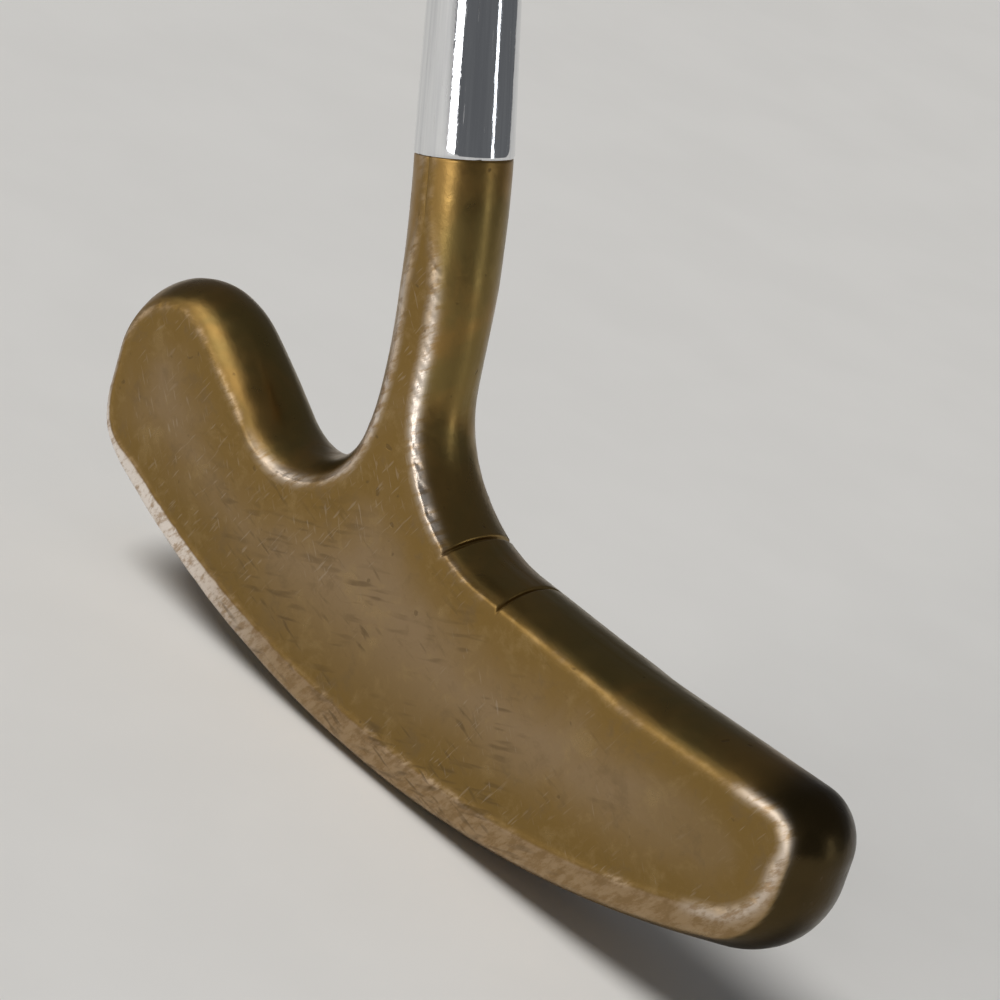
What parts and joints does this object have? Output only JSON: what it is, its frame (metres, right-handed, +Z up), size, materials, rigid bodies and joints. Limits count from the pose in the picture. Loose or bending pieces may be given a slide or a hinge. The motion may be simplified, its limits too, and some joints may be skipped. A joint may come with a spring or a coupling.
{
  "type": "golf putter",
  "caption": "Two-way blade putter: cast bronze head with rocker sole, raised heel and bent neck, on a flared steel shaft with a leather paddle grip.",
  "frame": {"origin": "lowest point of the cambered sole, where the head touches level ground at address", "axes": "+Z up, +X from heel to toe, -Y towards a ball played right-handed; the shaft leans towards -X in the XZ plane"},
  "size_m": [0.3715, 0.0272, 0.8389],
  "materials": {
    "head": "cast bronze, dark brown patina, satin and worn bright at the edges",
    "post_adhesive": "cured clear-amber resin",
    "shaft": "chromium-plated steel, polished, fine lengthwise scratches",
    "butt_plug": "plain beech dowel",
    "grip_tape": "paper-backed adhesive tape",
    "underlisting": "moulded black rubber",
    "leather_wrap": "dark brown calf leather, wound with overlapping edges",
    "thread_binding": "waxed dark red thread, wound tight",
    "grip_collar": "black, moulded",
    "end_cap": "black, moulded, slightly domed",
    "cap_screw": "slotted countersunk steel"
  },
  "bodies": {
    "root": {"head": "head", "post_adhesive": "post_adhesive", "shaft": "shaft", "butt_plug": "butt_plug", "grip_tape": "grip_tape", "underlisting": "underlisting", "leather_wrap": "leather_wrap", "thread_binding": "thread_binding", "grip_collar": "grip_collar", "end_cap": "end_cap", "cap_screw": "cap_screw"}
  },
  "joints": []
}
